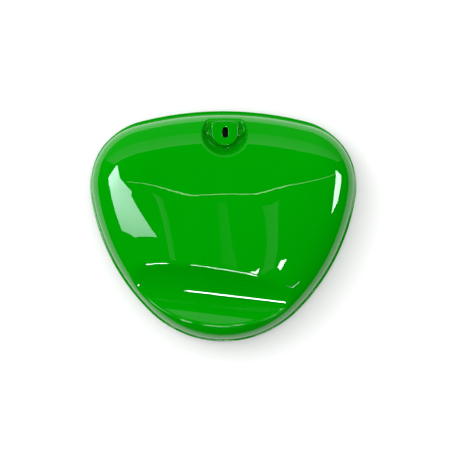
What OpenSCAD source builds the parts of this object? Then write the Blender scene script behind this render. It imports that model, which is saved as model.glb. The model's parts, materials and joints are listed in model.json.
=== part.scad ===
// Lockable side cover of a motorcycle tool box: a domed steel pressing with a rubber rim seal,
// two hooks at the bottom and a quarter-turn key lock at the top.
// The cover stands upright: +Z up, +X to the right, its face looks along -Y and
// the plane that it seats against is y = 0.

/* [Outline] */
// Height of the top edge's middle above the origin
top_z = 124; // [118:1:130]
// Radius of the top edge
top_r = 360; // [340:5:400]
// Radius of the two upper corners
corner_r = 72; // [66:1:78]
// Radius of the two sides
side_r = 220; // [210:5:230]
// Radius of the bottom edge
bottom_r = 113; // [108:1:118]
// Direction, from straight up, in which the top edge ends
top_end = 14.4; // [13:0.2:16]
// Direction, from straight up, in which the corner ends
corner_end = 98.6; // [97:0.2:100]

/* [Skin] */
// Thickness of the steel sheet
skin_t = 1.0; // [0.8:0.1:1.2]
// Flange width at the top
flange_top = 4.4; // [3.5:0.1:5]
// Flange width at the upper corners
flange_corner = 1.7; // [1.5:0.1:3]
// Flange width at the sides
flange_side = 3.0; // [2:0.1:4]
// Flange width at the bottom
flange_bottom = 2.4; // [2:0.1:4]
// Radius of the hollow between the flange and the flank
foot_r = 2.2; // [1.5:0.1:3]
// Lean of the flank
draft = 5; // [3:1:8]
// Height at which the flank turns into the shoulder
flank_h = 12; // [10:1:14]
// Radius of the shoulder beside the flank
shoulder_r = 25; // [22:1:28]
// Slope at which the shoulder gets flatter
shoulder_mid = 32; // [28:1:36]
// Radius of the flatter part of the shoulder
crown_r = 60; // [50:5:70]
// Slope at which the shoulder ends
shoulder_end = 11; // [10:1:12]
// Rise of the crown from the end of the shoulder to the middle
crown_rise = 7; // [6:0.5:8]

/* [Scoop] */
// Height of the scoop's lowest line, where it crosses the middle
groove_h = 25.1; // [24:0.1:27]
// Fall of the scoop's lines to the right, as rise over run
groove_fall = 0.11; // [0.1:0.01:0.12]
// Rise of the scoop's floor to the right, as rise over run
groove_lean = 0.03; // [0.02:0.01:0.04]
// Distance below the origin at which the wall under the crest would meet the floor
riser_foot = 69; // [68:0.1:70]
// Slope of the wall under the crest, as rise over run
riser_slope = 0.8; // [0.75:0.01:0.85]
// Distance below the origin at which the shelf starts to rise
shelf_start = 66; // [65:0.5:68]
// Slope that the shelf tends to, as rise over run
shelf_rise = 0.6; // [0.55:0.01:0.65]
// Distance over which the shelf reaches that slope
shelf_bend = 43; // [40:1:46]

/* [Lock] */
// Sideways place of the lock's axis
lock_x = 1.7; // [0:0.1:3]
// Height of the lock's axis
lock_z = 98.2; // [97:0.1:99]
// Height of the recess floor above the flange
recess_h = 26; // [25.5:0.5:26.5]
// Radius of the recess where its wall meets the floor
recess_r = 20.8; // [20.5:0.1:21.5]
// Distance of the recess's centre above the lock's axis
recess_up = 2.4; // [2:0.1:2.6]
// Lean of the recess wall from the floor
recess_lean = 70; // [68:1:74]
// Radius of the hollow between the recess floor and wall
recess_fillet = 1.5; // [1:0.1:2]
// Radius of the round end of the lock's shield
shield_r = 13.6; // [13:0.1:14]
// Height of the shield over the recess floor
shield_h = 7.5; // [7:0.5:8]
// Width of the keyhole
keyhole_w = 6.2; // [6:0.1:6.6]
// Length of the keyhole
keyhole_l = 11.4; // [11:0.1:12]
// Sideways distance of each rivet from the lock's axis
rivet_x = 15.8; // [15.5:0.1:16]
// Radius of the lock plug
plug_r = 8.5; // [8:0.1:8.6]
// Reach of the latch tongue from the lock's axis
tongue_l = 17.5; // [16:0.5:18]

/* [Seat] */
// Thickness of the rim seal
seal_t = 3; // [2:0.5:4]
// Width of the rim seal
seal_w = 6; // [5:0.5:7]
// Distance from the cover's edge in to the seal
seal_inset = 1.2; // [1:0.1:1.5]
// Sideways distance of each hook from the middle
hook_x = 24; // [20:1:28]
// Width of each hook
hook_w = 14; // [12:1:16]
// Sheet thickness of the hooks
hook_t = 1.5; // [1.2:0.1:1.8]

/* [Hidden] */
$fn = 96;

// Colours
paint = [0.0, 0.62, 0.02];
rubber = [0.06, 0.06, 0.06];
zinc = [0.78, 0.79, 0.80];
steel = [0.70, 0.71, 0.72];
fibre = [0.25, 0.17, 0.12];
black_plate = [0.10, 0.10, 0.11];

// ---- Outline: six tangent arcs, the same on the left and the right ----

function way(a) = [sin(a), cos(a)];
top_c = [0, top_z - top_r];
corner_c = top_c + (top_r - corner_r) * way(top_end);
side_c = corner_c + (corner_r - side_r) * way(corner_end);
side_end = 180 - asin(-side_c.x / (side_r - bottom_r));
bottom_c = side_c + (side_r - bottom_r) * way(side_end);

// Point of the right half of the outline whose outward direction is a, moved in by inset
function right_rim(a, inset) =
    a <= top_end ? top_c + (top_r - inset) * way(a)
    : a <= corner_end ? corner_c + (corner_r - inset) * way(a)
    : a <= side_end ? side_c + (side_r - inset) * way(a)
    : bottom_c + (bottom_r - inset) * way(a);
function rim(a, inset) =
    a <= 180 ? right_rim(a, inset)
    : let (p = right_rim(360 - a, inset)) [-p.x, p.y];

// Directions from start to end in n equal steps, without the end itself
function steps(start, end, n) = [for (i = [0 : n - 1]) start + (end - start) * i / n];
// Directions around half the outline
function half_turn(top_n, corner_n, side_n, bottom_n) = concat(
    steps(0, top_end, top_n),
    steps(top_end, corner_end, corner_n),
    steps(corner_end, side_end, side_n),
    steps(side_end, 180, bottom_n)
);
function full_turn(half) = concat(
    half, [180], [for (i = [len(half) - 1 : -1 : 1]) 360 - half[i]]
);

module outline(inset) {
    polygon([for (a = full_turn(half_turn(14, 24, 20, 20))) rim(a, inset)]);
}

// ---- Skin: height of the outer surface over the flange's back, without the lock's recess ----

function smooth_min(a, b, k) =
    let (h = max(k - abs(a - b), 0) / k)
    min(a, b) - h * h * k / 4;
function smooth_max(a, b, k) = -smooth_min(-a, -b, k);
function ease(t) = let (u = min(max(t, 0), 1)) u * u * (3 - 2 * u);

// Flange width around the rim, eased between its four stated widths
corner_mid = (top_end + corner_end) / 2;
side_mid = (corner_end + side_end) / 2;
function flange_w(a) =
    let (b = a <= 180 ? a : 360 - a)
    b < corner_mid ? flange_top + (flange_corner - flange_top) * ease(b / corner_mid)
    : b < side_mid ? flange_corner
        + (flange_side - flange_corner) * ease((b - corner_mid) / (side_mid - corner_mid))
    : flange_side
        + (flange_bottom - flange_side) * ease((b - side_mid) / (180 - side_mid));

// Section from the flange to the end of the shoulder: [distance in from the foot, height]
foot_c = [-foot_r * (1 - sin(draft)) / cos(draft), skin_t + foot_r];
flank_in = (flank_h - skin_t) * tan(draft);
mid_in = flank_in + shoulder_r * (cos(draft) - sin(shoulder_mid));
mid_h = flank_h + shoulder_r * (cos(shoulder_mid) - sin(draft));
crown_in = mid_in + crown_r * (sin(shoulder_mid) - sin(shoulder_end));
crown_h = mid_h + crown_r * (cos(shoulder_end) - cos(shoulder_mid));
foot_n = 3;
shoulder_n = 5;
crown_n = 5;
section = concat(
    [for (i = [0 : foot_n])
        let (b = -90 + (90 - draft) * i / foot_n)
        foot_c + foot_r * [cos(b), sin(b)]],
    [for (i = [0 : shoulder_n])
        let (s = 90 - draft + (shoulder_mid - 90 + draft) * i / shoulder_n)
        [flank_in + shoulder_r * (cos(draft) - sin(s)),
         flank_h + shoulder_r * (cos(s) - sin(draft))]],
    [for (i = [1 : crown_n])
        let (s = shoulder_mid + (shoulder_end - shoulder_mid) * i / crown_n)
        [mid_in + crown_r * (sin(shoulder_mid) - sin(s)),
         mid_h + crown_r * (cos(s) - cos(shoulder_mid))]]
);

// Crown: from the end of the shoulder to the middle, an even bowl in its inner part
middle = [0, 10];
crown_bowl = 0.35;
top_h = crown_h + crown_rise;
crown_half_w = rim(90, flange_corner + crown_in).x;
crown_half_h = (rim(0, flange_top + crown_in).y - rim(180, flange_bottom + crown_in).y) / 2;
function crown_height(a, k) =
    let (
        edge = rim(a, flange_w(a) + crown_in) - middle,
        power = tan(shoulder_end) * (edge * way(a)) / crown_rise,
        p = k * edge,
        bowl = pow(p.x / crown_half_w, 2) + pow(p.y / crown_half_h, 2),
        w = ease((k - crown_bowl) / (1 - crown_bowl))
    )
    top_h - crown_rise * ((1 - w) * bowl + w * pow(k, power));

// Section of the scoop: height over its lowest line at the distance u below the origin
riser_blend = 20;
function scoop_section(u) =
    let (q = max(u - shelf_start, 0))
    smooth_max(riser_slope * (riser_foot - u),
        shelf_rise * (sqrt(q * q + shelf_bend * shelf_bend) - shelf_bend), riser_blend);
// Height of the scoop's own surface at p: its section runs straight along a falling line
function scoop_h(p) = groove_h + groove_lean * p.x + scoop_section(-p.y - groove_fall * p.x);

crest_blend = 2;
function carved(p, h) = smooth_min(h, scoop_h(p), crest_blend);

// ---- Skin mesh: rows run from the flange's edge to the middle ----

turn = full_turn(half_turn(12, 14, 9, 9));
columns = len(turn);
function section_point(a, s) =
    let (p = rim(a, flange_w(a) + s[0]), h = s[0] < mid_in / 4 ? s[1] : carved(p, s[1]))
    [p.x, -seal_t - h, p.y];
function crown_row_point(a, k) =
    let (p = middle + k * (rim(a, flange_w(a) + crown_in) - middle))
    [p.x, -seal_t - carved(p, crown_height(a, k)), p.y];
// Shares of the way out from the middle, closest together where the scoop lies
crown_steps = concat(steps(0.95, 0.5, 9), steps(0.5, 0, 5));
outer_rows = concat(
    [[for (a = turn) let (p = rim(a, 0)) [p.x, -seal_t - skin_t, p.y]]],
    [for (s = section) [for (a = turn) section_point(a, s)]],
    [for (k = crown_steps) [for (a = turn) crown_row_point(a, k)]]
);
peak = crown_row_point(0, 0);

// Direction from a mesh point through the sheet to its inside, from the point's neighbours
function through(i, j) =
    let (
        across = outer_rows[i][(j + 1) % columns] - outer_rows[i][(j + columns - 1) % columns],
        next_in = i == len(outer_rows) - 1 ? peak : outer_rows[i + 1][j],
        n = cross(across, next_in - outer_rows[i - 1][j])
    )
    n / norm(n) * (n.y < 0 ? -1 : 1);
inner_rows = [for (i = [1 : len(outer_rows) - 1])
    [for (j = [0 : columns - 1]) outer_rows[i][j] + skin_t * through(i, j)]];

// A domed solid: its rows run from a flat back at back_y to the tip
module dome(rows, back_y, tip) {
    back_row = [for (p = rows[0]) [p.x, back_y, p.z]];
    all_rows = concat([back_row], rows);
    last = len(all_rows) - 1;
    tip_id = len(all_rows) * columns;
    function id(i, j) = i * columns + j % columns;
    polyhedron(
        points = concat([for (row = all_rows) each row], [tip]),
        faces = concat(
            [[for (j = [columns - 1 : -1 : 0]) id(0, j)]],
            [for (i = [0 : last - 1]) for (j = [0 : columns - 1]) each [
                [id(i, j), id(i, j + 1), id(i + 1, j + 1)],
                [id(i, j), id(i + 1, j + 1), id(i + 1, j)]]],
            [for (j = [0 : columns - 1]) [id(last, j), id(last, j + 1), tip_id]]
        ),
        convexity = 4
    );
}

// The space in front of the lock recess, grown by the sheet for the inside
module recess_space(grow) {
    wall_l = 40;
    centre = [recess_r - recess_fillet * tan(recess_lean / 2), seal_t + recess_h + recess_fillet];
    r = recess_fillet + grow;
    arc = [for (i = [0 : 4]) let (b = -90 + recess_lean * i / 4) centre + r * [cos(b), sin(b)]];
    top = arc[4] + wall_l * [cos(recess_lean), sin(recess_lean)];
    at_lock() translate([0, 0, recess_up]) rotate([90, 0, 0]) rotate_extrude()
        polygon(concat([[0, arc[0].y]], arc, [top, [0, top.y]]));
}

// ---- Helpers for flat and round pieces ----

// A flat shape drawn in X and Z, from y to y + depth, towards the back
module slab(y, depth) {
    translate([0, y + depth, 0]) rotate([90, 0, 0]) linear_extrude(depth) children();
}
module at_lock() {
    translate([lock_x, 0, lock_z]) children();
}
module both_sides(x) {
    for (side = [-1, 1]) translate([side * x, 0]) children();
}
module ring(outer, inner) {
    difference() {
        circle(outer);
        circle(inner);
    }
}
module slot(w, l) {
    square([w, l - w], center = true);
    for (end = [-1, 1]) translate([0, end * (l - w) / 2]) circle(w / 2);
}

// ---- Places along the lock's axis, from the face to the back ----

floor_y = -seal_t - recess_h;
face_y = floor_y - shield_h;
inner_floor_y = floor_y + skin_t;
gasket_t = 0.8;
backing_t = 1.2;
housing_flange_t = 2;
backing_y = inner_floor_y + gasket_t;
housing_y = backing_y + backing_t;
plug_y = -16;
plug_head_t = 2;
housing_end = -4;
tongue_y = 1.8;
tongue_t = 2;
lock_washer_t = 1.2;
nut_t = 4;
tongue_end = tongue_y + tongue_t;
nut_y = tongue_end + lock_washer_t;
shank_end = nut_y + nut_t + 1.2;

rivet_r = 2;
rivet_head_r = 3.3;
ear_r = 3.6;
ear_t = 1.6;
hole_play = 0.1;
skin_hole_r = 9.6;

// Shield of the lock seen from the front: round below, square shoulders, arched top
shield_half_w = shield_r - 0.1;
shield_corner = 10.8;
shield_arch_r = 60;
shield_arch_top = 11.9;
module shield(grow) {
    intersection() {
        union() {
            circle(shield_r + grow);
            translate([-shield_half_w - grow, 0])
                square([2 * (shield_half_w + grow), shield_corner + 4]);
        }
        translate([0, shield_arch_top + grow - shield_arch_r]) circle(shield_arch_r);
    }
}

// ---- Fixed pieces ----

module cover_skin() {
    color(paint) difference() {
        dome(outer_rows, -seal_t, peak);
        recess_space(0);
        difference() {
            dome(inner_rows, -seal_t + skin_t, peak + [0, skin_t, 0]);
            recess_space(skin_t);
        }
        at_lock() {
            slab(inner_floor_y - 5, 10) circle(skin_hole_r);
            slab(inner_floor_y - 5, 10) both_sides(rivet_x) circle(rivet_r + hole_play);
        }
    }
}

module rim_seal() {
    color(rubber) slab(-seal_t, seal_t) difference() {
        outline(seal_inset);
        outline(seal_inset + seal_w);
    }
}

pocket_w = 11;
pocket_top = 10.4;
pocket_bottom = -8.6;
face_t = 2.4;
skirt_h = 2.6;
skirt_grow = 1;
pin_r = 0.75;
pin_l = 16;
pin_z = 8.2;
pin_y = face_y + face_t + 2;
scallop_h = 2.2;
module lock_escutcheon() {
    color(paint) at_lock() difference() {
        union() {
            slab(face_y, shield_h) shield(0);
            slab(floor_y - skirt_h, skirt_h) shield(skirt_grow / 2);
            slab(floor_y - ear_t, ear_t) {
                shield(skirt_grow);
                both_sides(rivet_x) circle(ear_r);
            }
        }
        slab(face_y - 1, face_t + 2) slot(keyhole_w, keyhole_l);
        slab(face_y + face_t, shield_h)
            translate([-pocket_w / 2, pocket_bottom]) square([pocket_w, pocket_top - pocket_bottom]);
        slab(floor_y - ear_t - 1, ear_t + 2) both_sides(rivet_x) circle(rivet_r + hole_play);
        slab(floor_y - ear_t - scallop_h, scallop_h) both_sides(rivet_x) circle(rivet_head_r + 0.15);
        translate([0, pin_y, pin_z]) rotate([0, 90, 0])
            cylinder(h = pin_l + 0.2, r = pin_r + 0.03, center = true);
    }
}

rivet_back_y = housing_y + housing_flange_t;
rivet_dome_h = 1.8;
module rivet() {
    dome_r = (rivet_head_r * rivet_head_r + rivet_dome_h * rivet_dome_h) / (2 * rivet_dome_h);
    slab(floor_y - ear_t, rivet_back_y - floor_y + ear_t) circle(rivet_r);
    translate([0, floor_y - ear_t, 0]) intersection() {
        translate([0, dome_r - rivet_dome_h, 0]) sphere(dome_r);
        rotate([90, 0, 0]) cylinder(h = 2 * rivet_dome_h, r = rivet_head_r);
    }
    slab(rivet_back_y, 1) circle(rivet_head_r - 0.2);
}
module lock_rivets() {
    color(paint) at_lock() for (side = [-1, 1]) translate([side * rivet_x, 0, 0]) rivet();
}

// Outline of the gasket, the backing plate and the housing flange, cut level under the top flank
plate_r = 13.2;
plate_top = 11.4;
plate_ear_r = 4.4;
module lock_plate(hole_r) {
    difference() {
        intersection() {
            union() {
                circle(plate_r);
                square([2 * rivet_x, 2 * plate_ear_r], center = true);
                both_sides(rivet_x) circle(plate_ear_r);
            }
            translate([-2 * rivet_x, -2 * plate_r]) square([4 * rivet_x, 2 * plate_r + plate_top]);
        }
        circle(hole_r);
        both_sides(rivet_x) circle(rivet_r + hole_play);
    }
}
module housing_gasket() {
    color(fibre) at_lock() slab(inner_floor_y, gasket_t) lock_plate(skin_hole_r);
}
module lock_backing_plate() {
    color(steel) at_lock() slab(backing_y, backing_t) lock_plate(skin_hole_r);
}

barrel_r = 12;
cavity_r = 10.2;
running_play = 0.05;
stop_r = 10.9;
stop_w = 2;
tab_half = 10;
module lock_housing() {
    seat_y = plug_y + plug_head_t + 0.1;
    color(zinc) at_lock() difference() {
        union() {
            slab(housing_y, housing_flange_t) lock_plate(cavity_r);
            intersection() {
                slab(housing_y, housing_end - housing_y) circle(barrel_r);
                translate([-barrel_r, housing_y, -barrel_r])
                    cube([2 * barrel_r, housing_end - housing_y, barrel_r + plate_top]);
            }
            // two lugs that stop the washer's tab, locked and unlocked
            for (a = [-1.7 * tab_half, 90 + 1.7 * tab_half])
                rotate([0, a, 0])
                    translate([-stop_w / 2, housing_end - 1, stop_r - 2.4])
                        cube([stop_w, 3.6, 2.6]);
        }
        slab(housing_y - 1, seat_y - housing_y + 1) circle(cavity_r);
        slab(seat_y - 1, housing_end - seat_y + 2) circle(plug_r + running_play);
    }
}

module shutter_pin() {
    color(steel) at_lock() translate([0, pin_y, pin_z]) rotate([0, 90, 0])
        cylinder(h = pin_l, r = pin_r, center = true);
}

flap_w = 8.6;
flap_t = 0.8;
flap_gap = 0.3;
flap_bottom = -7.4;
knuckle_r = 1.5;
knuckle_w = 4;
spring_wire = 0.25;
spring_turn_r = 1.2;
spring_turns = 3;
spring_x = knuckle_w / 2 + 0.5;
notch_r = 1.8;
module shutter_spring() {
    color(steel) at_lock() translate([0, pin_y, pin_z]) {
        for (i = [0 : spring_turns - 1])
            translate([spring_x + i * 2.2 * spring_wire, 0, 0]) rotate([0, 90, 0])
                rotate_extrude() translate([spring_turn_r, 0]) circle(spring_wire);
        translate([spring_x + (spring_turns - 1) * 2 * spring_wire, spring_turn_r, -3.2])
            cylinder(h = 3.2, r = spring_wire);
    }
}

// Hook: a base welded inside the scoop's shelf, a leg to the back and a foot behind the panel
hook_base_z = -87;
hook_base_l = 17;
hook_leg_z = -96;
weld_gap = 0.5;
foot_y = 2.2;
foot_l = 14;
module hook(side) {
    x = side * hook_x;
    base_y = -seal_t - scoop_h([x, hook_base_z]) + skin_t + weld_gap;
    low_y = -seal_t - scoop_h([x, hook_leg_z]) + skin_t + weld_gap;
    lean_z = atan((low_y - base_y) / (hook_base_z - hook_leg_z));
    beside_y = -seal_t - scoop_h([x + hook_w / 2, hook_base_z]) + skin_t + weld_gap;
    lean_x = atan((beside_y - base_y) / (hook_w / 2));
    color(zinc) union() {
        translate([x, base_y, hook_base_z]) rotate([lean_z, 0, lean_x])
            translate([-hook_w / 2, 0, -hook_base_l / 2]) cube([hook_w, hook_t, hook_base_l]);
        translate([x - hook_w / 2, low_y + 0.6, hook_leg_z])
            cube([hook_w, foot_y + hook_t - low_y - 0.6, hook_t]);
        translate([x - hook_w / 2, foot_y, hook_leg_z - foot_l])
            cube([hook_w, hook_t, foot_l + hook_t]);
    }
}
module left_hook() {
    hook(-1);
}
module right_hook() {
    hook(1);
}

sleeve_t = 1;
sleeve_l = 8;
module hook_sleeve(side) {
    low = hook_leg_z - foot_l;
    color(rubber) difference() {
        translate([side * hook_x - hook_w / 2 - sleeve_t, foot_y - sleeve_t, low - sleeve_t])
            cube([hook_w + 2 * sleeve_t, hook_t + 2 * sleeve_t, sleeve_l + sleeve_t]);
        translate([side * hook_x - hook_w / 2, foot_y, low])
            cube([hook_w, hook_t, sleeve_l + 1]);
    }
}
module left_hook_sleeve() {
    hook_sleeve(-1);
}
module right_hook_sleeve() {
    hook_sleeve(1);
}

// ---- Pieces that turn with the key ----

plug_head_r = 9.8;
shank_r = 5;
shank_flat = 7;
thread_r = 4;
thread_flat = 6.4;
groove_y = -7;
o_ring_r = 0.75;
circlip_y = housing_end + 1.1;
circlip_t = 0.8;
circlip_groove_r = 4.4;
stop_y = circlip_y + circlip_t + 0.2;
stop_t = 1.2;
slot_depth = 8;

// A round bar with two flats
module double_d(r, flat) {
    intersection() {
        circle(r);
        square([2 * r, flat], center = true);
    }
}
module lock_plug() {
    color(zinc) at_lock() difference() {
        union() {
            slab(plug_y, plug_head_t) circle(plug_head_r);
            slab(plug_y, housing_end - plug_y) circle(plug_r);
            slab(housing_end - 1, tongue_y - housing_end + 1) double_d(shank_r, shank_flat);
            slab(tongue_y - 1, shank_end - tongue_y + 1) double_d(thread_r, thread_flat);
        }
        slab(plug_y - 1, slot_depth + 1) slot(5.4, 11.6);
        translate([0, groove_y, 0]) rotate([90, 0, 0])
            rotate_extrude() translate([plug_r - o_ring_r, 0]) circle(o_ring_r + 0.05);
        slab(circlip_y - 0.05, circlip_t + 0.1) ring(plug_r, circlip_groove_r);
    }
}
module plug_o_ring() {
    color(rubber) at_lock() translate([0, groove_y, 0]) rotate([90, 0, 0])
        rotate_extrude() translate([plug_r - o_ring_r, 0]) circle(o_ring_r);
}
module spring_washer() {
    color(steel) at_lock() slab(housing_end + 0.2, 0.6) ring(8.2, shank_r + 0.1);
}
module plug_circlip() {
    color(steel) at_lock() slab(circlip_y, circlip_t) difference() {
        ring(7.2, circlip_groove_r + 0.05);
        translate([0, -6]) square([4, 8], center = true);
    }
}
module stop_washer() {
    color(steel) at_lock() slab(stop_y, stop_t) difference() {
        union() {
            circle(8);
            intersection() {
                circle(stop_r);
                polygon([[0, 0], 16 * way(-tab_half), 16 * way(tab_half)]);
            }
        }
        double_d(shank_r + 0.1, shank_flat + 0.2);
    }
}
hub_r = 8.5;
tip_w = 12;
module latch_tongue() {
    color(zinc) at_lock() slab(tongue_y, tongue_t) difference() {
        union() {
            circle(hub_r);
            translate([-tip_w / 2, 0]) square([tip_w, tongue_l - 3]);
            translate([-tip_w / 2 + 3, 0]) square([tip_w - 6, tongue_l]);
            for (side = [-1, 1])
                translate([side * (tip_w / 2 - 3), tongue_l - 3]) circle(3);
        }
        double_d(thread_r + 0.1, thread_flat + 0.2);
    }
}
module tongue_lock_washer() {
    color(steel) at_lock() slab(tongue_end, lock_washer_t) difference() {
        ring(6.6, thread_r + 0.15);
        rotate(35) translate([0, 5]) square([0.8, 6], center = true);
    }
}
module tongue_nut() {
    color(steel) at_lock() slab(nut_y, nut_t) difference() {
        circle(7.5, $fn = 6);
        circle(thread_r + 0.05);
    }
}

// ---- Dust shutter: hangs on its pin behind the keyhole and swings in ----

module dust_shutter() {
    color(black_plate) at_lock() difference() {
        union() {
            translate([-flap_w / 2, face_y + face_t + flap_gap, flap_bottom])
                cube([flap_w, flap_t, pin_z - flap_bottom]);
            translate([0, pin_y, pin_z]) rotate([0, 90, 0])
                cylinder(h = knuckle_w, r = knuckle_r, center = true);
        }
        translate([spring_x - spring_wire - 0.1, pin_y - notch_r, pin_z - notch_r])
            cube([flap_w, notch_r, 2 * notch_r]);
        translate([0, pin_y, pin_z]) rotate([0, 90, 0])
            cylinder(h = flap_w + 2, r = pin_r + running_play, center = true);
    }
}

cover_skin();
rim_seal();
lock_escutcheon();
lock_rivets();
housing_gasket();
lock_backing_plate();
lock_housing();
shutter_pin();
shutter_spring();
left_hook();
right_hook();
left_hook_sleeve();
right_hook_sleeve();
lock_plug();
plug_o_ring();
spring_washer();
plug_circlip();
stop_washer();
latch_tongue();
tongue_lock_washer();
tongue_nut();
dust_shutter();
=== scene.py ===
import json
import math

import bmesh
import bpy
import numpy as np
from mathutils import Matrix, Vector


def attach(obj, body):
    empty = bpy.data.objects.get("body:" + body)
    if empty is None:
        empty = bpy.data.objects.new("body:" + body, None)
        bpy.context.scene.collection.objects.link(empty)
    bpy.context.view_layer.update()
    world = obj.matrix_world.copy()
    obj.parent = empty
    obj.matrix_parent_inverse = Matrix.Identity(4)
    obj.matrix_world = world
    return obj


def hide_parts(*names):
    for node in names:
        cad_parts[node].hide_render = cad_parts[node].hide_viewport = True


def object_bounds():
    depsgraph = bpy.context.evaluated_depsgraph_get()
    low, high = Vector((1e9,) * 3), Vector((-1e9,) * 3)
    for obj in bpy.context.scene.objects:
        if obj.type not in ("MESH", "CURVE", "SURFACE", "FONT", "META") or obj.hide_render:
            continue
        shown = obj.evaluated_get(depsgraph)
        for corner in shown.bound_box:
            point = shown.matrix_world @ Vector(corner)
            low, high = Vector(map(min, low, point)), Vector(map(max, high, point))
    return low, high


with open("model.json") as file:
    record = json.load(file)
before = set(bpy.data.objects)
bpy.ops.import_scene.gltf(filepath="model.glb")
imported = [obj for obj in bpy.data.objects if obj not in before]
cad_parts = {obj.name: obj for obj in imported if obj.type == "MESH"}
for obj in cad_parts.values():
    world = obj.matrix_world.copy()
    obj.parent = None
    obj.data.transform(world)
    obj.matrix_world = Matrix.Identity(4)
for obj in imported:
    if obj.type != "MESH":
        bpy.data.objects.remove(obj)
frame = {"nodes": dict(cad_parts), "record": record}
cad_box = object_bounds()

MM = 0.001

# ---------------------------------------------------------------- sizes in millimetres, as in the CAD

# Outline: six tangent arcs. Directions are degrees from straight up.
TOP_Z, TOP_R, CORNER_R, SIDE_R, BOTTOM_R = 124.0, 360.0, 72.0, 220.0, 113.0
TOP_END, CORNER_END = 14.4, 98.6

# Skin section
SEAL_T = 3.0
SKIN_T = 1.0
FLANGE_TOP, FLANGE_CORNER, FLANGE_SIDE, FLANGE_BOTTOM = 4.4, 1.7, 3.0, 2.4
FOOT_R, DRAFT, FLANK_H = 2.2, 5.0, 12.0
SHOULDER_R, SHOULDER_MID = 25.0, 32.0
CROWN_R, SHOULDER_END, CROWN_RISE, CROWN_BOWL = 60.0, 11.0, 7.0, 0.35
MIDDLE = np.array([0.0, 10.0])

# Scoop
GROOVE_H, GROOVE_FALL, GROOVE_LEAN = 25.1, 0.11, 0.03
RISER_FOOT, RISER_SLOPE, RISER_BLEND = 69.0, 0.8, 20.0
SHELF_START, SHELF_RISE, SHELF_BEND = 66.0, 0.6, 43.0
CREST_BLEND = 2.0

# Lock
LOCK = np.array([1.7, 98.2])
RECESS_H, RECESS_R, RECESS_LEAN, RECESS_UP = 26.0, 20.8, 70.0, 2.4
SHIELD_R, SHIELD_H, SHIELD_GROW = 13.6, 7.5, 1.0
SHIELD_HALF_W, SHIELD_ARCH_R, SHIELD_ARCH_TOP = 13.5, 60.0, 11.9
KEYHOLE_W, KEYHOLE_L = 6.2, 11.4
POCKET_HALF_W, POCKET_TOP, POCKET_BOTTOM = 5.5, 10.4, 8.6
FACE_T = 2.4
EAR_R, EAR_T = 3.6, 1.6
RIVET_X, RIVET_HEAD_R = 15.8, 3.3
SKIN_HOLE_R = 9.6
RECESS_C = LOCK + [0.0, RECESS_UP]
FLOOR_Y = -SEAL_T - RECESS_H

# Seal
SEAL_W, SEAL_INSET = 6.0, 1.2

# ---------------------------------------------------------------- sizes that only the looks have

# Recess: rounder edges and, below the lock, a dished floor and a wall that leans more
RECESS_BLEND, RECESS_SIDE_BLEND, RIM_BLEND = 3.0, 0.8, 3.0
DISH_R, DISH_SLOPE, DISH_LEAN = 16.5, 0.32, 3.0

# Shield: its face tilts, the keyhole sits a little to the right, edges are round, and the foot is
# a small step, given as (growth over the outline, height)
SHIELD_TILT = math.tan(math.radians(1.2))
SHIELD_CORNER_BLEND = 0.9
SHIELD_FOOT = [(SHIELD_GROW - 0.4, 0.0), (SHIELD_GROW, 0.4), (SHIELD_GROW, 1.3),
               (SHIELD_GROW - 0.15, 1.6), (0.65, 1.8), (0.5, 2.4)]
SHIELD_EDGE, SHIELD_FLARE, EAR_EDGE = 0.55, 0.1, 0.15
KEYHOLE_EDGE, KEYHOLE_MARGIN, KEYHOLE_SHIFT = 0.4, 0.5, 0.4

# Rivets: a low domed head over a short cylinder, a shank, and a tail with a round edge, given as
# (radius, distance from the back)
DOME_H, HEAD_STEP, SHANK_R, TAIL_T = 0.8, 0.25, 2.0, 1.0
RIVET_TAIL = [(3.1, TAIL_T), (3.1, 0.5), (2.6, 0.15), (1.6, 0.0), (0.0, 0.0)]

# Seal: round edges, and grooves at these shares of its width
SEAL_EDGE, SEAL_GROOVES, SEAL_GROOVE_DEPTH = 0.7, (0.32, 0.5, 0.68), 0.45
SEAL_GROOVE_HALF, SEAL_GROOVE_FLOOR = 0.5, 0.25


# ---------------------------------------------------------------- outline

def way(a):
    """Unit vectors in direction a, degrees from straight up, as an array of [x, z]."""
    return np.stack([np.sin(np.radians(a)), np.cos(np.radians(a))], -1)


def sin_cos(degrees):
    return math.sin(math.radians(degrees)), math.cos(math.radians(degrees))


TOP_C = np.array([0.0, TOP_Z - TOP_R])
CORNER_C = TOP_C + (TOP_R - CORNER_R) * way(TOP_END)
SIDE_C = CORNER_C + (CORNER_R - SIDE_R) * way(CORNER_END)
SIDE_END = 180 - math.degrees(math.asin(-SIDE_C[0] / (SIDE_R - BOTTOM_R)))
BOTTOM_C = SIDE_C + (SIDE_R - BOTTOM_R) * way(SIDE_END)
CORNER_MID = (TOP_END + CORNER_END) / 2
SIDE_MID = (CORNER_END + SIDE_END) / 2


def rim(a, inset):
    """Points of the outline whose outward directions are a, moved in by inset."""
    a = np.asarray(a, float)
    half = np.where(a <= 180, a, 360 - a)
    arcs = [(TOP_C, TOP_R), (CORNER_C, CORNER_R), (SIDE_C, SIDE_R), (BOTTOM_C, BOTTOM_R)]
    which = np.digitize(half, [TOP_END, CORNER_END, SIDE_END])
    centre = np.array([c for c, _ in arcs])[which]
    radius = np.array([r for _, r in arcs])[which]
    p = centre + (radius - inset)[..., None] * way(half)
    return p * np.stack([np.where(a <= 180, 1.0, -1.0), np.ones_like(a)], -1)


def ease(t):
    """A smooth step from 0 to 1 as t goes from 0 to 1."""
    u = np.clip(t, 0, 1)
    return u * u * (3 - 2 * u)


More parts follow.
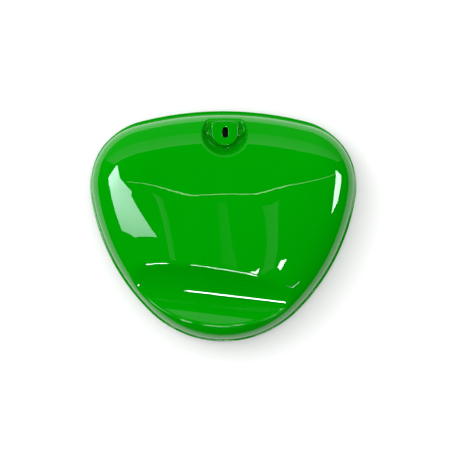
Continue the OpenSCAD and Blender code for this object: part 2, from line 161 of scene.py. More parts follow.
def flange_w(a):
    """Flange width in direction a."""
    b = np.where(a <= 180, a, 360 - a)
    upper = FLANGE_TOP + (FLANGE_CORNER - FLANGE_TOP) * ease(b / CORNER_MID)
    side = FLANGE_CORNER + (FLANGE_SIDE - FLANGE_CORNER) * ease(
        (b - CORNER_MID) / (SIDE_MID - CORNER_MID))
    lower = FLANGE_SIDE + (FLANGE_BOTTOM - FLANGE_SIDE) * ease((b - SIDE_MID) / (180 - SIDE_MID))
    return np.where(b < CORNER_MID, upper, np.where(b < SIDE_MID, side, lower))


# ---------------------------------------------------------------- height of the outer surface

def smooth_min(a, b, k):
    """The smaller of a and b, rounded where they are within k of each other."""
    h = np.maximum(k - np.abs(a - b), 0) / k
    return np.minimum(a, b) - h * h * k / 4


def smooth_max(a, b, k):
    return -smooth_min(-a, -b, k)


DRAFT_SIN, DRAFT_COS = sin_cos(DRAFT)
MID_SIN, MID_COS = sin_cos(SHOULDER_MID)
END_SIN, END_COS = sin_cos(SHOULDER_END)
FOOT_C = np.array([-FOOT_R * (1 - DRAFT_SIN) / DRAFT_COS, SKIN_T + FOOT_R])
FLANK_IN = (FLANK_H - SKIN_T) * DRAFT_SIN / DRAFT_COS
MID_IN = FLANK_IN + SHOULDER_R * (DRAFT_COS - MID_SIN)
MID_H = FLANK_H + SHOULDER_R * (MID_COS - DRAFT_SIN)
CROWN_IN = MID_IN + CROWN_R * (MID_SIN - END_SIN)
CROWN_H = MID_H + CROWN_R * (END_COS - MID_COS)
TOP_H = CROWN_H + CROWN_RISE


def edge_point(a, inset):
    """One point of the outline, as rim gives them."""
    return rim(np.array([a]), np.array([inset]))[0]


CROWN_HALF_W = edge_point(90.0, FLANGE_CORNER + CROWN_IN)[0]
CROWN_HALF_H = (edge_point(0.0, FLANGE_TOP + CROWN_IN)
                - edge_point(180.0, FLANGE_BOTTOM + CROWN_IN))[1] / 2


def section(foot_n, flank_n, shoulder_n, crown_n):
    """The section from the flange to the end of the shoulder: [distance in from the foot, height]."""
    points = []
    for i in range(foot_n + 1):
        s, c = sin_cos(-90 + (90 - DRAFT) * i / foot_n)
        points.append(FOOT_C + FOOT_R * np.array([c, s]))
    foot_end = points[-1]
    for i in range(1, flank_n):
        points.append(foot_end + (np.array([FLANK_IN, FLANK_H]) - foot_end) * i / flank_n)
    for i in range(shoulder_n + 1):
        s, c = sin_cos(90 - DRAFT + (SHOULDER_MID - 90 + DRAFT) * i / shoulder_n)
        points.append(np.array([FLANK_IN + SHOULDER_R * (DRAFT_COS - s),
                                FLANK_H + SHOULDER_R * (c - DRAFT_SIN)]))
    for i in range(1, crown_n + 1):
        s, c = sin_cos(SHOULDER_MID + (SHOULDER_END - SHOULDER_MID) * i / crown_n)
        points.append(np.array([MID_IN + CROWN_R * (MID_SIN - s),
                                MID_H + CROWN_R * (c - MID_COS)]))
    return points


def crown_height(a, k):
    """Height of the crown in direction a, at share k of the way from the middle to its edge."""
    edge = rim(a, flange_w(a) + CROWN_IN) - MIDDLE
    # this power makes the crown meet the shoulder at the shoulder's own slope
    power = END_SIN / END_COS * (edge * way(a)).sum(-1) / CROWN_RISE
    p = (k * edge.T).T
    bowl = (p[..., 0] / CROWN_HALF_W) ** 2 + (p[..., 1] / CROWN_HALF_H) ** 2
    w = ease((k - CROWN_BOWL) / (1 - CROWN_BOWL))
    return TOP_H - CROWN_RISE * ((1 - w) * bowl + w * k ** power)


def scoop_height(p):
    """The scoop: a wall that falls to a shelf, which rises again to the lower edge."""
    u = -p[..., 1] - GROOVE_FALL * p[..., 0]
    q = np.maximum(u - SHELF_START, 0)
    shelf = SHELF_RISE * (np.sqrt(q * q + SHELF_BEND ** 2) - SHELF_BEND)
    return (GROOVE_H + GROOVE_LEAN * p[..., 0]
            + smooth_max(RISER_SLOPE * (RISER_FOOT - u), shelf, RISER_BLEND))


def recess_height(p):
    """The bowl round the lock."""
    d = p - RECESS_C
    r = np.linalg.norm(d, axis=-1)
    # below the lock the floor rises gently before the wall, and the wall leans a little more
    below = ease(-d[..., 1] / np.maximum(r, 1e-6))
    dish = DISH_SLOPE * below * np.maximum(r - DISH_R, 0)
    slope = np.tan(np.radians(RECESS_LEAN - DISH_LEAN * below))
    blend = RECESS_SIDE_BLEND + (RECESS_BLEND - RECESS_SIDE_BLEND) * below
    return RECESS_H + smooth_max(dish, slope * (r - RECESS_R), blend)


def carved(p, h):
    """Height h at p after the recess and the scoop are cut in."""
    return smooth_min(smooth_min(h, recess_height(p), RIM_BLEND), scoop_height(p), CREST_BLEND)


# ---------------------------------------------------------------- mesh helpers

def steps(start, end, n):
    """n values from start towards end, without the end."""
    return [start + (end - start) * i / n for i in range(n)]


def steps_to(start, end, n):
    return steps(start, end, n) + [end]


def row_at(p, y):
    """A row of points [x, y, z] from points [x, z] and their y."""
    return np.stack([p[:, 0], np.broadcast_to(y, len(p)), p[:, 1]], -1)


LOCK_SIDE = 5.0


def full_turn(lock_n, top_n, corner_n, side_n, bottom_n):
    """Directions all round the rim, closest together beside the lock."""
    half = (steps(0, LOCK_SIDE, lock_n) + steps(LOCK_SIDE, TOP_END, top_n)
            + steps(TOP_END, CORNER_END, corner_n) + steps(CORNER_END, SIDE_END, side_n)
            + steps(SIDE_END, 180, bottom_n))
    return np.array(half + [180] + [360 - a for a in half[:0:-1]])


def new_object(name, vertices, faces, smooth=True):
    mesh = bpy.data.meshes.new(name)
    mesh.from_pydata([tuple(v) for v in vertices], [], faces)
    mesh.validate()
    if smooth:
        mesh.shade_smooth()
    obj = bpy.data.objects.new(name, mesh)
    bpy.context.scene.collection.objects.link(obj)
    return obj


def fix_normals(obj):
    """Turns the faces of a closed mesh outwards."""
    bm = bmesh.new()
    bm.from_mesh(obj.data)
    bmesh.ops.recalc_face_normals(bm, faces=bm.faces)
    bm.to_mesh(obj.data)
    bm.free()


def sharpen(obj, degrees):
    """Edges steeper than this stay sharp, and the rest shade smooth."""
    obj.data.set_sharp_from_angle(angle=math.radians(degrees))


def ring_faces(rows, columns):
    """Quads between rows of points that each go once round."""
    faces = []
    for i in range(rows - 1):
        for j in range(columns):
            a, b = i * columns + j, i * columns + (j + 1) % columns
            faces.append((a, b, b + columns, a + columns))
    return faces


def end_fans(rows, columns):
    """Triangles from the first and the last row to their middles, the two points after the rows."""
    last = rows * columns
    return ([(j, (j + 1) % columns, last) for j in range(columns)]
            + [(last - columns + (j + 1) % columns, last - columns + j, last + 1)
               for j in range(columns)])


def closing_faces(rows, columns):
    """Quads from the last row back to the first one."""
    last = (rows - 1) * columns
    return [(last + j, last + (j + 1) % columns, (j + 1) % columns, j) for j in range(columns)]


def place(obj, body, nodes, material):
    """The piece rides a body, stands for its CAD nodes and takes its material."""
    obj.data.materials.clear()
    obj.data.materials.append(material)
    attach(obj, body)
    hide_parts(*nodes)
    return obj


# ---------------------------------------------------------------- materials

def node_material(name):
    mat = bpy.data.materials.new(name)
    mat.use_nodes = True
    tree = mat.node_tree
    shader = next(n for n in tree.nodes if n.type == "BSDF_PRINCIPLED")
    return mat, tree, shader


def noise(tree, scale, detail=4.0, roughness=0.5):
    coordinates = tree.nodes.new("ShaderNodeTexCoord")
    texture = tree.nodes.new("ShaderNodeTexNoise")
    texture.inputs["Scale"].default_value = scale
    texture.inputs["Detail"].default_value = detail
    texture.inputs["Roughness"].default_value = roughness
    tree.links.new(coordinates.outputs["Object"], texture.inputs["Vector"])
    return texture


def ramp(tree, source, stops):
    """A colour ramp over source; stops are (position, colour)."""
    node = tree.nodes.new("ShaderNodeValToRGB")
    elements = node.color_ramp.elements
    while len(elements) < len(stops):
        elements.new(0.5)
    for element, (position, colour) in zip(elements, stops):
        element.position = position
        element.color = (*colour, 1.0)
    tree.links.new(source, node.inputs["Fac"])
    return node.outputs["Color"]


def grey(value):
    return (value, value, value)


def bump(tree, shader, source, strength, distance, socket="Normal"):
    node = tree.nodes.new("ShaderNodeBump")
    node.inputs["Strength"].default_value = strength
    node.inputs["Distance"].default_value = distance
    tree.links.new(source, node.inputs["Height"])
    tree.links.new(node.outputs["Normal"], shader.inputs[socket])


def paint_material():
    mat, tree, shader = node_material("green_enamel")
    tone = noise(tree, 9.0, 2.0)
    colour = ramp(tree, tone.outputs["Fac"], [(0.35, (0.0, 0.300, 0.0004)),
                                              (0.65, (0.0, 0.315, 0.0006))])
    tree.links.new(colour, shader.inputs["Base Color"])
    fine = noise(tree, 180.0, 1.0)
    tree.links.new(ramp(tree, fine.outputs["Fac"], [(0.3, grey(0.30)), (0.7, grey(0.36))]),
                   shader.inputs["Roughness"])
    shader.inputs["Specular IOR Level"].default_value = 0.0
    shader.inputs["Coat Weight"].default_value = 1.0
    shader.inputs["Coat Roughness"].default_value = 0.012
    shader.inputs["Coat IOR"].default_value = 1.5
    peel = noise(tree, 55.0, 2.0)
    bump(tree, shader, peel.outputs["Fac"], 0.06, 0.0004, "Coat Normal")
    return mat


def rubber_material():
    mat, tree, shader = node_material("black_rubber")
    tone = noise(tree, 60.0)
    tree.links.new(ramp(tree, tone.outputs["Fac"], [(0.3, grey(0.012)), (0.7, grey(0.03))]),
                   shader.inputs["Base Color"])
    grain = noise(tree, 900.0, 3.0)
    tree.links.new(ramp(tree, grain.outputs["Fac"], [(0.3, grey(0.6)), (0.7, grey(0.8))]),
                   shader.inputs["Roughness"])
    bump(tree, shader, grain.outputs["Fac"], 0.3, 0.0003)
    return mat


def metal_material(name, dark, light, rough, grain_scale, grain_depth):
    """Bare or plated metal: colour varies a little from dark to light, with fine grain."""
    mat, tree, shader = node_material(name)
    shader.inputs["Metallic"].default_value = 1.0
    patch = noise(tree, 70.0, 5.0)
    tree.links.new(ramp(tree, patch.outputs["Fac"], [(0.35, dark), (0.65, light)]),
                   shader.inputs["Base Color"])
    grain = noise(tree, grain_scale, 3.0)
    tree.links.new(ramp(tree, grain.outputs["Fac"], [(0.3, grey(rough * 0.8)),
                                                     (0.7, grey(rough * 1.25))]),
                   shader.inputs["Roughness"])
    bump(tree, shader, grain.outputs["Fac"], 0.35, grain_depth)
    return mat


def fibre_material():
    mat, tree, shader = node_material("brown_fibre")
    fleck = noise(tree, 700.0, 5.0, 0.7)
    tree.links.new(ramp(tree, fleck.outputs["Fac"], [(0.35, (0.05, 0.022, 0.012)),
                                                     (0.65, (0.13, 0.065, 0.035))]),
                   shader.inputs["Base Color"])
    shader.inputs["Roughness"].default_value = 0.75
    bump(tree, shader, fleck.outputs["Fac"], 0.4, 0.0002)
    return mat


def black_plate_material():
    mat, tree, shader = node_material("black_plate")
    shader.inputs["Metallic"].default_value = 0.3
    tone = noise(tree, 300.0)
    tree.links.new(ramp(tree, tone.outputs["Fac"], [(0.3, grey(0.001)), (0.7, grey(0.003))]),
                   shader.inputs["Base Color"])
    shader.inputs["Specular IOR Level"].default_value = 0.25
    shader.inputs["Roughness"].default_value = 0.3
    return mat


PAINT = paint_material()
RUBBER = rubber_material()
BY_SLOT = {
    "green_paint": PAINT,
    "rubber": RUBBER,
    "zinc_plate": metal_material("zinc_plate", (0.50, 0.49, 0.44), (0.66, 0.66, 0.62),
                                 0.30, 420.0, 0.00008),
    "die_cast_zinc": metal_material("die_cast_zinc", (0.42, 0.42, 0.43), (0.55, 0.55, 0.56),
                                    0.42, 900.0, 0.0002),
    "bright_steel": metal_material("bright_steel", (0.55, 0.55, 0.55), (0.7, 0.7, 0.7),
                                   0.16, 500.0, 0.00004),
    "fibre": fibre_material(),
    "black_plate": black_plate_material()}
NODE_SLOT = {s["node"]: s["material_slot"] for s in frame["record"]["subparts"]}
NODE_BODY = {n: b for b, members in frame["record"]["behaviour"]["bodies"].items() for n in members}


# ---------------------------------------------------------------- cover skin

def outer_rows(turn):
    """Rows of the outer surface from the flange to the middle, each as points [x, y, z]."""
    width = flange_w(turn)
    rows = []
    for s, h in section(8, 3, 16, 30):
        p = rim(turn, width + s)
        height = np.full(len(turn), h)
        # the foot stays as it is: neither the recess nor the scoop reaches it
        rows.append(row_at(p, -SEAL_T - (height if s < MID_IN / 4 else carved(p, height))))
    # rows lie closest together where the recess and the scoop are
    shares = (steps(1.0, 0.92, 6)[1:] + steps(0.92, 0.72, 36) + steps(0.72, 0.55, 12)
              + steps(0.55, 0.0, 22))
    for k in shares:
        p = MIDDLE + k * (rim(turn, width + CROWN_IN) - MIDDLE)
        rows.append(row_at(p, -SEAL_T - carved(p, crown_height(turn, k))))
    return rows


def cover_skin():
    """The painted sheet: inner face, flange edge and outer face, with the hole behind the lock."""
    turn = full_turn(44, 16, 34, 34, 28)
    columns = len(turn)
    outer = np.array(outer_rows(turn))
    peak_h = carved(MIDDLE[None], np.array([TOP_H]))[0]
    peak = np.array([MIDDLE[0], -SEAL_T - peak_h, MIDDLE[1]])

    # the sheet's inner face lies one thickness behind the outer one
    across = np.roll(outer, -1, 1) - np.roll(outer, 1, 1)
    inward = np.empty_like(outer)
    inward[1:-1] = outer[2:] - outer[:-2]
    inward[0] = outer[1] - outer[0]
    inward[-1] = peak - outer[-2]
    normal = np.cross(across, inward)
    normal /= np.linalg.norm(normal, axis=-1, keepdims=True)
    normal *= np.where(normal[..., 1:2] < 0, -1, 1)
    inner = outer + SKIN_T * normal
    inner[0, :, 1] = -SEAL_T

    # rows run from the inner middle round the flange's rounded edge to the outer middle
    edge = []
    r = SKIN_T / 2
    for b in steps_to(-90, 90, 8):
        s, c = sin_cos(b)
        edge.append(row_at(rim(turn, np.full(columns, r - r * c)), -SEAL_T - r - r * s))
    rows = np.concatenate([inner[::-1], np.array(edge), outer])
    vertices = list(rows.reshape(-1, 3)) + [peak + [0, SKIN_T, 0], peak]
    faces = ring_faces(len(rows), columns) + end_fans(len(rows), columns)

    # the hole behind the lock: faces inside its circle go, its edge is closed between both sides
    xz = np.array(vertices)[:, [0, 2]]
    inside = np.linalg.norm(xz - LOCK, axis=1) < SKIN_HOLE_R
    kept = [f for f in faces if not all(inside[v] for v in f)]
    obj = new_object("cover_skin_formed", np.array(vertices) * MM, kept)
    bm = bmesh.new()
    bm.from_mesh(obj.data)
    bmesh.ops.delete(bm, geom=[v for v in bm.verts if not v.link_faces], context="VERTS")
    border = [e for e in bm.edges if e.is_boundary]
    for v in {v for e in border for v in e.verts}:
        away = Vector((v.co.x - LOCK[0] * MM, v.co.z - LOCK[1] * MM))
        away *= SKIN_HOLE_R * MM / away.length
        v.co.x, v.co.z = LOCK[0] * MM + away.x, LOCK[1] * MM + away.y
    bmesh.ops.bridge_loops(bm, edges=border)
    bmesh.ops.recalc_face_normals(bm, faces=bm.faces)
    bm.to_mesh(obj.data)
    bm.free()
    obj.data.shade_smooth()
    return place(obj, "cover", ["cover_skin"], PAINT)


cover_skin()


# ---------------------------------------------------------------- other pieces built here in full

def shield_radius(turn):
    """Distance from the lock's axis to the shield's edge in each direction."""
    u = way(turn)
    centre = SHIELD_ARCH_TOP - SHIELD_ARCH_R
    along = u[:, 1] * centre
    arch = along + np.sqrt(along ** 2 + SHIELD_ARCH_R ** 2 - centre ** 2)
    beside = SHIELD_HALF_W / np.maximum(np.abs(u[:, 0]), 0.05)
    lower = np.where(u[:, 1] > 0, np.maximum(SHIELD_R, beside), SHIELD_R)
    return smooth_min(arch, lower, SHIELD_CORNER_BLEND)


def slot_radius(turn, width, length):
    """Distance from the middle of a round-ended slot to its edge in each direction."""
    u = np.abs(way(turn))
    d = (length - width) / 2
    side = width / 2 / np.maximum(u[:, 0], 1e-6)
    end = d * u[:, 1] + np.sqrt(np.maximum((width / 2) ** 2 - (d * u[:, 0]) ** 2, 0))
    return np.where(side * u[:, 1] <= d, side, end)


def pocket_radius(turn):
    """Distance from the lock's axis to the wall of the pocket that the shutter swings in."""
    u = way(turn)
    beside = POCKET_HALF_W / np.maximum(np.abs(u[:, 0]), 1e-6)
    above = np.where(u[:, 1] > 0, POCKET_TOP, POCKET_BOTTOM) / np.maximum(np.abs(u[:, 1]), 1e-6)
    return np.minimum(beside, above)


def join(target, others):
    """Adds closed meshes to a piece made of several of them."""
    bm = bmesh.new()
    for obj in [target] + others:
        bm.from_mesh(obj.data)
    bm.to_mesh(target.data)
    bm.free()
    for obj in others:
        bpy.data.objects.remove(obj)
    return target


def revolved(name, profile, centre, count=64):
    """A closed round piece about an axis along Y: profile is (radius, y) from axis to axis."""
    turn = np.array(steps(0, 360, count))
    rows = [row_at(np.array(centre) + r * way(turn), y) for r, y in profile[1:-1]]
    ends = [[centre[0], y, centre[1]] for y in (profile[0][1], profile[-1][1])]
    faces = ring_faces(len(rows), count) + end_fans(len(rows), count)
    obj = new_object(name, np.concatenate(rows + [np.array(ends)]) * MM, faces)
    fix_normals(obj)
    return obj


def arc(centre, radius, start, end, n):
    """Points of an arc in a section, from one angle to another."""
    points = []
    for b in steps_to(start, end, n):
        s, c = sin_cos(b)
        points.append((centre[0] + radius * c, centre[1] + radius * s))
    return points


def lock_escutcheon():
    """The shield with its keyhole, the pocket behind it and two round ears."""
    turn = np.array(steps(0, 360, 240))
    outline = shield_radius(turn)
    keyhole = slot_radius(turn, KEYHOLE_W, KEYHOLE_L)
    pocket = pocket_radius(turn)
    rows = []

    def add(radius, height, shift=0.0):
        p = radius[:, None] * way(turn)
        # the tilt of the face fades out towards the foot
        lift = SHIELD_TILT * p[:, 1] * height / SHIELD_H
        rows.append(row_at(LOCK + p + [shift, 0.0], FLOOR_Y - height - lift))

    for grow, height in SHIELD_FOOT:
        add(outline + grow, height)
    for b in steps_to(0, 90, 6):
        s, c = sin_cos(b)
        add(outline - SHIELD_EDGE * (1 - c) + SHIELD_FLARE * c, SHIELD_H - SHIELD_EDGE * (1 - s))
    inner = outline - SHIELD_EDGE
    for share in (0.25, 0.5, 0.75, 0.9):
        add(inner + share * (keyhole + KEYHOLE_MARGIN - inner), SHIELD_H, share * KEYHOLE_SHIFT)
    for b in steps_to(90, 180, 4):
        s, c = sin_cos(b)
        add(keyhole + KEYHOLE_EDGE * (1 + c), SHIELD_H - KEYHOLE_EDGE * (1 - s), KEYHOLE_SHIFT)
    add(keyhole, SHIELD_H - FACE_T, KEYHOLE_SHIFT)
    add(pocket, SHIELD_H - FACE_T)
    add(pocket, 0.0)
    faces = ring_faces(len(rows), len(turn)) + closing_faces(len(rows), len(turn))
    shield = new_object("escutcheon_cast", np.concatenate(rows) * MM, faces)
    fix_normals(shield)
    ear_top = FLOOR_Y - EAR_T
    ear = ([(0, FLOOR_Y), (EAR_R, FLOOR_Y)]
           + arc((EAR_R - EAR_EDGE, ear_top + EAR_EDGE), EAR_EDGE, 0, -90, 3) + [(0, ear_top)])
    join(shield, [revolved("ear", ear, (LOCK[0] + side * RIVET_X, LOCK[1])) for side in (-1, 1)])
    sharpen(shield, 50)
    return place(shield, "cover", ["lock_escutcheon"], PAINT)


def back_of(node):
    """The rearmost Y of a CAD piece, in millimetres."""
    obj = frame["nodes"][node]
    return max((obj.matrix_world @ v.co).y for v in obj.data.vertices) / MM


def lock_rivets():
    """Two rivets from the ears to the back of the housing's flange."""
    back = back_of("lock_rivets")
    top = FLOOR_Y - EAR_T
    profile = [(0, top - DOME_H)]
    for b in steps_to(10, 90, 8):
        s, c = sin_cos(b)
        profile.append((RIVET_HEAD_R * s, top - HEAD_STEP - (DOME_H - HEAD_STEP) * c))
    profile += [(RIVET_HEAD_R, top), (SHANK_R, top), (SHANK_R, back - TAIL_T)]
    profile += [(r, back - depth) for r, depth in RIVET_TAIL]
    rivets = [revolved("rivet", profile, (LOCK[0] + side * RIVET_X, LOCK[1]), 40)
              for side in (-1, 1)]
    obj = join(rivets[0], rivets[1:])
    obj.name = "rivets_domed"
    sharpen(obj, 50)
    return place(obj, "cover", ["lock_rivets"], PAINT)


def rim_seal():
    """A rubber strip with rounded edges and shallow ribs on the face that it seats with."""
    turn = full_turn(10, 10, 34, 34, 28)
    r = SEAL_EDGE
    near, far = SEAL_INSET + r, SEAL_INSET + SEAL_W - r
    section_points = arc((near, -r), r, 180, 90, 4)
    for share in SEAL_GROOVES:
        x = SEAL_INSET + SEAL_W * share
        section_points += [(x - SEAL_GROOVE_HALF, 0.0), (x - SEAL_GROOVE_FLOOR, -SEAL_GROOVE_DEPTH),
                           (x + SEAL_GROOVE_FLOOR, -SEAL_GROOVE_DEPTH), (x + SEAL_GROOVE_HALF, 0.0)]
    section_points += arc((far, -r), r, 90, 0, 4)
    section_points += arc((far, -SEAL_T + r), r, 0, -90, 4)
    section_points += arc((near, -SEAL_T + r), r, -90, -180, 4)
    rows = [row_at(rim(turn, np.full(len(turn), inset)), y) for inset, y in section_points]
    faces = ring_faces(len(rows), len(turn)) + closing_faces(len(rows), len(turn))
    obj = new_object("seal_moulded", np.concatenate(rows) * MM, faces)
    fix_normals(obj)
    sharpen(obj, 55)
    return place(obj, "cover", ["rim_seal"], RUBBER)


lock_escutcheon()
lock_rivets()
rim_seal()

# ---------------------------------------------------------------- CAD pieces with rounded edges

WELD = 0.002
FLAT_ANGLE, SHARP_ANGLE = 1, 32


def rounded(node, width):
    """A copy of the CAD piece with its edges rounded."""
    source = frame["nodes"][node]
    mesh = source.data.copy()
    mesh.transform(source.matrix_world)
    obj = bpy.data.objects.new(node + "_rounded", mesh)
    bpy.context.scene.collection.objects.link(obj)
    bm = bmesh.new()
    bm.from_mesh(mesh)
    bmesh.ops.remove_doubles(bm, verts=bm.verts, dist=WELD * MM)
    bmesh.ops.dissolve_limit(bm, angle_limit=math.radians(FLAT_ANGLE), verts=bm.verts,
                             edges=bm.edges)
    sharp = [e for e in bm.edges
             if len(e.link_faces) == 2 and e.calc_face_angle(0) > math.radians(SHARP_ANGLE)]
    bmesh.ops.bevel(bm, geom=sharp, offset=width * MM, segments=2, profile=0.5, affect="EDGES",
                    clamp_overlap=True)
    bm.to_mesh(mesh)
    bm.free()
    mesh.shade_smooth()
    sharpen(obj, 40)
    slot_name = NODE_SLOT[node]
    return place(obj, NODE_BODY[node], [node], BY_SLOT[slot_name])


ROUNDINGS = {
    "left_hook": 0.35, "right_hook": 0.35, "left_hook_sleeve": 0.5, "right_hook_sleeve": 0.5,
    "lock_housing": 0.35, "lock_backing_plate": 0.2, "housing_gasket": 0.15, "lock_plug": 0.3,
    "latch_tongue": 0.3, "tongue_nut": 0.35, "tongue_lock_washer": 0.15, "stop_washer": 0.2,
    "plug_circlip": 0.12, "dust_shutter": 0.15}
for node_name, width in ROUNDINGS.items():
    rounded(node_name, width)

# the pin, the springs and the O-ring show as the CAD has them
for node_name, obj in frame["nodes"].items():
    if not obj.hide_render:
        obj.data.materials.clear()
        obj.data.materials.append(BY_SLOT[NODE_SLOT[node_name]])

# ---------------------------------------------------------------- stage and camera

CAMERA_DISTANCE, CAMERA_X, CAMERA_Z = 1.15, 0.00184, 0.00108
LENS, SENSOR = 85.2, 36.0

scene = bpy.context.scene
scene.view_settings.view_transform = "Standard"

camera_data = bpy.data.cameras.new("camera")
camera_data.lens = LENS
camera_data.sensor_width = SENSOR
camera = bpy.data.objects.new("camera", camera_data)
camera.location = (CAMERA_X, -CAMERA_DISTANCE - SEAL_T * MM, CAMERA_Z)
camera.rotation_euler = (math.radians(90), 0, 0)
scene.collection.objects.link(camera)
scene.camera = camera

WALL_GAP, FLOOR_GAP = 0.001, 0.12
WALL_Y = cad_box[1].y + WALL_GAP
FLOOR_Z = cad_box[0].z - FLOOR_GAP
REACH = 2.5


def stage_plane(name, corners, faces=((0, 1, 2, 3),)):
    """A matt white piece of the stage."""
    obj = new_object(name, corners, faces, smooth=False)
    mat, tree, shader = node_material(name)
    shader.inputs["Base Color"].default_value = (0.98, 0.98, 0.98, 1.0)
    shader.inputs["Roughness"].default_value = 1.0
    shader.inputs["Specular IOR Level"].default_value = 0.0
    obj.data.materials.append(mat)
    return obj, tree, shader


floor, _, _ = stage_plane("floor", [(-REACH, -REACH, FLOOR_Z), (REACH, -REACH, FLOOR_Z),
                                    (REACH, REACH, FLOOR_Z), (-REACH, REACH, FLOOR_Z)])
floor.visible_glossy = False
floor.visible_diffuse = False

# The wall behind the cover is see-through from behind. A hole in it, right behind the cover, lets
# light in and lets the inside mirror the room.
WALL_TURN = full_turn(10, 10, 20, 20, 16)
WALL_HOLE_INSET = 18.0
hole = rim(WALL_TURN, np.full(len(WALL_TURN), WALL_HOLE_INSET)) * MM
far = hole / np.linalg.norm(hole, axis=1)[:, None] * REACH
far[:, 1] = np.maximum(far[:, 1], FLOOR_Z)
wall_points = [(x, WALL_Y, z) for x, z in np.concatenate([hole, far])]
wall, wall_tree, wall_shader = stage_plane("wall", wall_points, ring_faces(2, len(WALL_TURN)))
wall.visible_diffuse = False
wall.visible_shadow = False
side = wall_tree.nodes.new("ShaderNodeNewGeometry")
clear = wall_tree.nodes.new("ShaderNodeBsdfTransparent")
mix = wall_tree.nodes.new("ShaderNodeMixShader")
wall_output = next(n for n in wall_tree.nodes if n.type == "OUTPUT_MATERIAL")
wall_tree.links.new(side.outputs["Backfacing"], mix.inputs["Fac"])
wall_tree.links.new(wall_shader.outputs["BSDF"], mix.inputs[1])
wall_tree.links.new(clear.outputs["BSDF"], mix.inputs[2])
wall_tree.links.new(mix.outputs["Shader"], wall_output.inputs["Surface"])

# ---------------------------------------------------------------- light

# The room is white for the camera and for soft light. Glossy paint mirrors a dark room in front
# and a bright one behind, as it does in a studio with a black flag round the camera.
SKY = Vector((-0.45, -0.62, 0.64))
SKY_BRIGHT, SKY_DIM = 1.72, 0.42
SKY_FROM, SKY_TO = -0.8, 0.9
ROOM_AXIS = Vector((0.0, 1.0, 0.0))
ROOM_FRONT, ROOM_BACK = 0.004, 0.75
ROOM_FROM, ROOM_TO = -0.02, 0.45

world = bpy.data.worlds.new("studio")
scene.world = world
world.use_nodes = True
room = world.node_tree
background = room.nodes["Background"]
direction = room.nodes.new("ShaderNodeTexCoord")


def room_light(axis, low, high, dim, bright):
    """Light that grows from dim to bright as its direction turns towards the axis."""
    along = room.nodes.new("ShaderNodeVectorMath")
    along.operation = "DOT_PRODUCT"
    along.inputs[1].default_value = axis
    span = room.nodes.new("ShaderNodeMapRange")
    span.interpolation_type = "SMOOTHSTEP"
    for socket, value in zip(("From Min", "From Max", "To Min", "To Max"), (low, high, dim, bright)):
        span.inputs[socket].default_value = value
    shine = room.nodes.new("ShaderNodeBackground")
    room.links.new(direction.outputs["Generated"], along.inputs[0])
    room.links.new(along.outputs["Value"], span.inputs["Value"])
    room.links.new(span.outputs["Result"], shine.inputs["Strength"])
    return shine


def choose(test, when_not, when):
    """A mix of two shaders: when where the test is 1, when_not where it is 0."""
    mix = room.nodes.new("ShaderNodeMixShader")
    room.links.new(test, mix.inputs["Fac"])
    room.links.new(when_not.outputs[0], mix.inputs[1])
    room.links.new(when.outputs[0], mix.inputs[2])
    return mix


ray = room.nodes.new("ShaderNodeLightPath")
soft_light = room_light(SKY.normalized(), SKY_FROM, SKY_TO, SKY_DIM, SKY_BRIGHT)
mirrored = room_light(ROOM_AXIS, ROOM_FROM, ROOM_TO, ROOM_FRONT, ROOM_BACK)
background.inputs["Color"].default_value = (1, 1, 1, 1)
background.inputs["Strength"].default_value = 1.0
seen = choose(ray.outputs["Is Camera Ray"], soft_light, background)
shown = choose(ray.outputs["Is Glossy Ray"], seen, mirrored)
room.links.new(shown.outputs["Shader"], room.nodes["World Output"].inputs["Surface"])

MIDDLE_POINT = Vector((0, -0.02, 0))
LIGHT_DISTANCE = 1.6


def towards(azimuth, elevation, distance=LIGHT_DISTANCE):
    """The point at this distance in front of the cover: azimuth to the right, elevation up."""
    a, e = math.radians(azimuth), math.radians(elevation)
    return MIDDLE_POINT + distance * Vector((math.sin(a) * math.cos(e), -math.cos(a) * math.cos(e),
                                             math.sin(e)))


def key_light(name, azimuth, elevation, size, power):
    """Soft light that isn't seen in the paint itself."""
    data = bpy.data.lights.new(name, "AREA")
    data.shape = "DISK"
    data.size = size
    data.energy = power
    obj = bpy.data.objects.new(name, data)
    obj.location = towards(azimuth, elevation)
    obj.rotation_euler = (MIDDLE_POINT - obj.location).to_track_quat("-Z", "Y").to_euler()
    obj.visible_glossy = False
    scene.collection.objects.link(obj)
    return obj


def card(name, corners, strength, colour=(1, 1, 1), fade=None):
    """A bright card that only shows as a reflection; fade is its strength at the last two corners.

    Corners are directions (azimuth, elevation) or places (x, y, z) in metres.
    """
    points = [Vector(corner) if len(corner) == 3 else towards(*corner) for corner in corners]
    obj = new_object(name, points, [tuple(range(len(points)))], smooth=False)
    mat = bpy.data.materials.new(name)
    mat.use_nodes = True
    tree = mat.node_tree
    tree.nodes.clear()
    emission = tree.nodes.new("ShaderNodeEmission")
    output = tree.nodes.new("ShaderNodeOutputMaterial")
    emission.inputs["Color"].default_value = (*colour, 1.0)
    emission.inputs["Strength"].default_value = strength
    tree.links.new(emission.outputs["Emission"], output.inputs["Surface"])
    if fade is not None:
        layer = obj.data.uv_layers.new(name="across")
        for loop in obj.data.loops:
            layer.data[loop.index].uv = (0.0 if loop.vertex_index < len(corners) / 2 else 1.0, 0.0)
        uv = tree.nodes.new("ShaderNodeTexCoord")
        split = tree.nodes.new("ShaderNodeSeparateXYZ")
        span = tree.nodes.new("ShaderNodeMapRange")
        span.inputs["To Min"].default_value = strength
        span.inputs["To Max"].default_value = fade
        tree.links.new(uv.outputs["UV"], split.inputs["Vector"])
        tree.links.new(split.outputs["X"], span.inputs["Value"])
        tree.links.new(span.outputs["Result"], emission.inputs["Strength"])
    obj.data.materials.append(mat)
    for kind in ("camera", "diffuse", "shadow", "transmission", "volume_scatter"):
        setattr(obj, "visible_" + kind, False)
    return obj


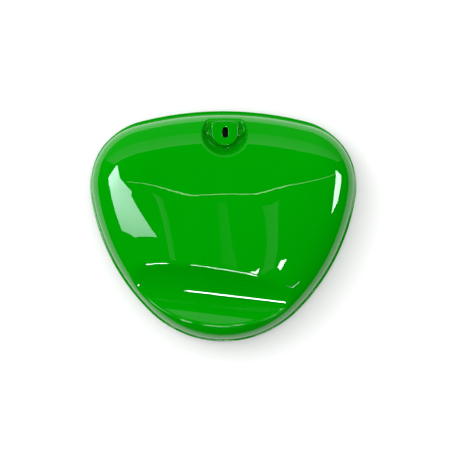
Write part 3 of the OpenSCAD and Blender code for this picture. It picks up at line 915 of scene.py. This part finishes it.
def strip(name, start, end, thickness, strength, colour=(1, 1, 1)):
    """A thin level card from one direction to another."""
    half = thickness / 2
    return card(name, [(start[0], start[1] - half), (start[0], start[1] + half),
                       (end[0], end[1] + half), (end[0], end[1] - half)], strength, colour)


key_light("key", -42, 22, 0.9, 5)
key_light("inside", 160, 25, 0.9, 14)

# the room's two windows
card("window", [(-55, 8), (-42, 19.5), (-18.5, -7.5), (-47, -13)], 20, (0.8, 0.95, 1.0), 6.5)
card("narrow_window", [(47, -2), (52, 15.5), (62.5, 11), (58, -6), (51, -9)], 20, (0.9, 1.0, 1.0))

# a long lamp over the window, whose bends are smoothed by cutting corners
LAMP_BENDS = [(-26, 5), (-9, 7), (2, 7.7), (8, 7.3), (14, 6.5), (26, 6.5), (50, 12)]
LAMP_T, LAMP_SMOOTHING = 0.2, 2
lamp_bar = np.array(LAMP_BENDS, float)
for _ in range(LAMP_SMOOTHING):
    cut = [0.75 * lamp_bar[:-1] + 0.25 * lamp_bar[1:], 0.25 * lamp_bar[:-1] + 0.75 * lamp_bar[1:]]
    lamp_bar = np.concatenate([lamp_bar[:1], np.stack(cut, 1).reshape(-1, 2), lamp_bar[-1:]])
for n, (start, end) in enumerate(zip(lamp_bar, lamp_bar[1:])):
    strip("lamp_bar_%d" % n, start, end, LAMP_T, 6.5, (1.0, 1.0, 0.8))

# low lamps and spots, which show along the scoop's crest and above it
strip("low_bar_left", (-31, -38), (-21, -37), 2.0, 100)
strip("low_bar_middle", (-12, -37), (4, -36), 1.8, 120)
strip("low_bar_right", (24, -33), (50, -31), 0.35, 24)
card("spot_right", [(17.5, -14.2), (18, -13), (20.5, -13.2), (19.5, -15.5)], 24)
card("spot_middle", [(5, -19), (6, -13), (9.5, -12), (8, -20)], 24)

# faint upright streaks in the middle of the crown
card("streak_left", [(-16, -14), (-13, 4), (-11.5, 4), (-13.5, -14)], 0.4, fade=0.2)
card("streak_middle", [(-0.5, -12), (-1.5, 5), (0.5, 5), (2.5, -12)], 0.08, fade=0.15)
card("streak_right", [(11, -14), (8.5, 4), (10.5, 4), (16, -14)], 0.2, fade=0.35)

# the ceiling, seen in the top shoulder: brightest along its front
CEILING_Z, CEILING_HALF_W, CEILING_CUT_X = 0.9, 1.8, 0.3


def ceiling(name, front, back, strength, fade, cut=0.0):
    """A level card overhead; cut takes off this much of its front at the right end."""
    card(name, [(-CEILING_HALF_W, front, CEILING_Z), (CEILING_CUT_X, front, CEILING_Z),
                (CEILING_HALF_W, front + cut, CEILING_Z), (CEILING_HALF_W, back, CEILING_Z),
                (-CEILING_HALF_W, back, CEILING_Z)], strength, fade=fade)


ceiling("ceiling_front", -1.65, -0.7, 0.7, 0.35, 0.7)
ceiling("ceiling_back", -0.7, 0.0, 0.13, 0.13)
